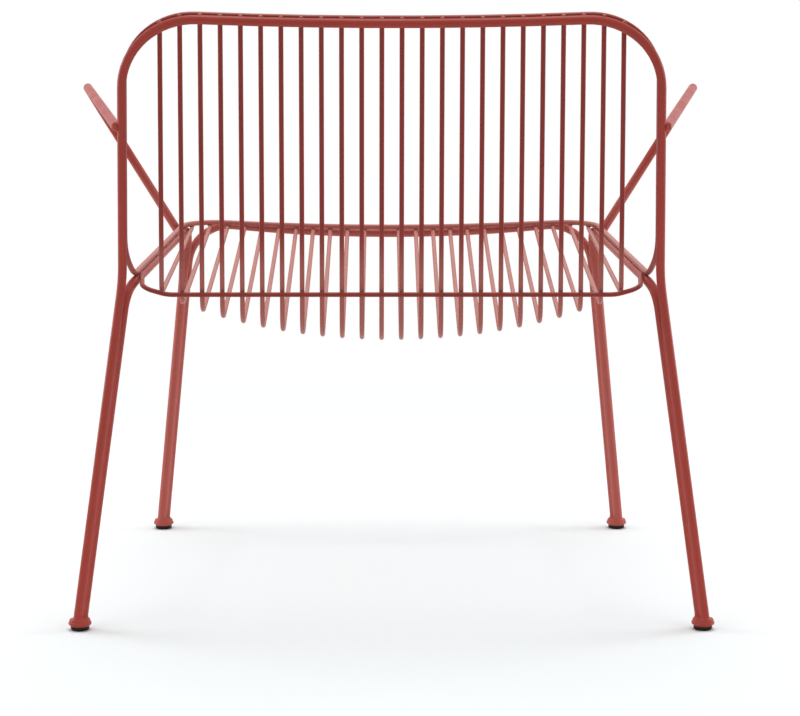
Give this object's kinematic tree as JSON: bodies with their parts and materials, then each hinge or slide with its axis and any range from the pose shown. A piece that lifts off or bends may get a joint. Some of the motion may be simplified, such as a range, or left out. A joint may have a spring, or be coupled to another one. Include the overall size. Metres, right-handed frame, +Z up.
{
  "type": "garden armchair",
  "caption": "Low outdoor armchair of bent steel rod, with paired legs, open loop arms and a dished shell of parallel wires inside a rod rim.",
  "frame": {"origin": "on the floor, under the middle of the chair's outline", "axes": "+Z up, the chair faces -Y, +X is the sitter's left"},
  "size_m": [0.7074, 0.5524, 0.6438],
  "materials": {
    "frame_paint": "satin powder coat, terracotta red",
    "wire_paint": "satin powder coat, terracotta red",
    "foot_paint": "satin powder coat, terracotta red",
    "glide_plastic": "moulded, slightly scuffed"
  },
  "bodies": {
    "root": {"rear_frame": "frame_paint", "front_frame": "frame_paint", "side_frame_left": "frame_paint", "side_frame_right": "frame_paint", "arm_left": "frame_paint", "arm_right": "frame_paint", "rim_rod": "wire_paint", "cross_rod": "wire_paint", "shell_wire_01": "wire_paint", "shell_wire_02": "wire_paint", "shell_wire_03": "wire_paint", "shell_wire_04": "wire_paint", "shell_wire_05": "wire_paint", "shell_wire_06": "wire_paint", "shell_wire_07": "wire_paint", "shell_wire_08": "wire_paint", "shell_wire_09": "wire_paint", "shell_wire_10": "wire_paint", "shell_wire_11": "wire_paint", "shell_wire_12": "wire_paint", "shell_wire_13": "wire_paint", "shell_wire_14": "wire_paint", "shell_wire_15": "wire_paint", "shell_wire_16": "wire_paint", "shell_wire_17": "wire_paint", "shell_wire_18": "wire_paint", "shell_wire_19": "wire_paint", "shell_wire_20": "wire_paint", "shell_wire_21": "wire_paint", "shell_wire_22": "wire_paint", "shell_wire_23": "wire_paint", "shell_wire_24": "wire_paint", "collar_rear_left": "foot_paint", "collar_rear_right": "foot_paint", "collar_front_left": "foot_paint", "collar_front_right": "foot_paint", "glide_rear_left": "glide_plastic", "glide_rear_right": "glide_plastic", "glide_front_left": "glide_plastic", "glide_front_right": "glide_plastic"}
  },
  "joints": []
}
